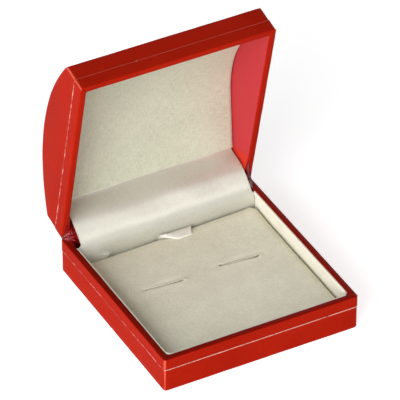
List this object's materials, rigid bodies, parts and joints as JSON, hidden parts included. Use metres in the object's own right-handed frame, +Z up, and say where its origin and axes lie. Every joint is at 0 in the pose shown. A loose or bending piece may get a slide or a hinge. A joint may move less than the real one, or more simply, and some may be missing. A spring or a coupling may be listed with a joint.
{
  "type": "cufflink display box",
  "caption": "Hinged jewellery box shown open: low square base with a slit cushion and pull tab, deep domed lid with a satin panel, gilt edge lines and a satin flap over the hinge.",
  "frame": {"origin": "centre of the base's flat underside, on the surface that the box stands on", "axes": "+X from the left wall to the right wall along the hinge line, +Y from the front wall to the hinge, +Z up"},
  "size_m": [0.09, 0.1077, 0.1082],
  "materials": {
    "shell": "moulded shell",
    "red_leatherette": "fine-grained leatherette, satin",
    "red_lining": "smooth leatherette lining",
    "gilt": "stamped foil line",
    "bottom_paper": "matt backing paper",
    "cream_liner": "cream-flocked card",
    "board": "plain board",
    "foam": "soft wadding",
    "cream_velvet": "short-pile velvet",
    "ribbon": "glossy satin ribbon",
    "card": "bowed card",
    "cream_satin": "woven satin",
    "paper": "backing paper",
    "steel": "plated spring steel",
    "rivet": "brass rivet"
  },
  "bodies": {
    "base": {"base_shell": "shell", "base_wrap": "red_leatherette", "base_gilt_line": "gilt", "bottom_sheet": "bottom_paper", "base_wall_liner": "cream_liner", "base_hinge_rivets": "rivet", "hinge_base_leaf_left": "steel", "hinge_base_leaf_right": "steel", "hinge_pin_left": "steel", "hinge_pin_right": "steel", "hinge_spring_left": "steel", "hinge_spring_right": "steel", "hinge_strip_outer": "red_leatherette", "hinge_strip_inner": "red_leatherette"},
    "pad": {"pad_board": "board", "pad_foam": "foam", "pad_velvet": "cream_velvet", "pull_tab_tail": "ribbon"},
    "tab": {"pull_tab": "ribbon"},
    "lid": {"lid_shell": "shell", "lid_wrap": "red_leatherette", "lid_gilt_line": "gilt", "lid_front_lining": "red_lining", "lid_end_lining_left": "red_lining", "lid_end_lining_right": "red_lining", "lid_panel_card": "card", "lid_panel_satin": "cream_satin", "lid_hinge_rivets": "rivet", "hinge_lid_leaf_left": "steel", "hinge_lid_leaf_right": "steel", "satin_flap": "cream_satin", "flap_paper": "paper"}
  },
  "joints": [
    {"name": "lid_hinge", "type": "hinge", "parent": "base", "child": "lid", "pos_m": [0, 0.0455, 0.01665], "axis": [1, 0, 0], "range_deg": [0, 77], "deforming": ["satin_flap", "flap_paper", "hinge_strip_outer", "hinge_strip_inner"]},
    {"name": "pad_lift", "type": "slide", "parent": "base", "child": "pad", "axis": [0, 0, 1], "range_m": [0, 0.0142]},
    {"name": "tab_flip", "type": "hinge", "parent": "pad", "child": "tab", "pos_m": [0.003, 0.0352, 0.01063], "axis": [-1, 0, 0], "range_deg": [0, 55]}
  ]
}
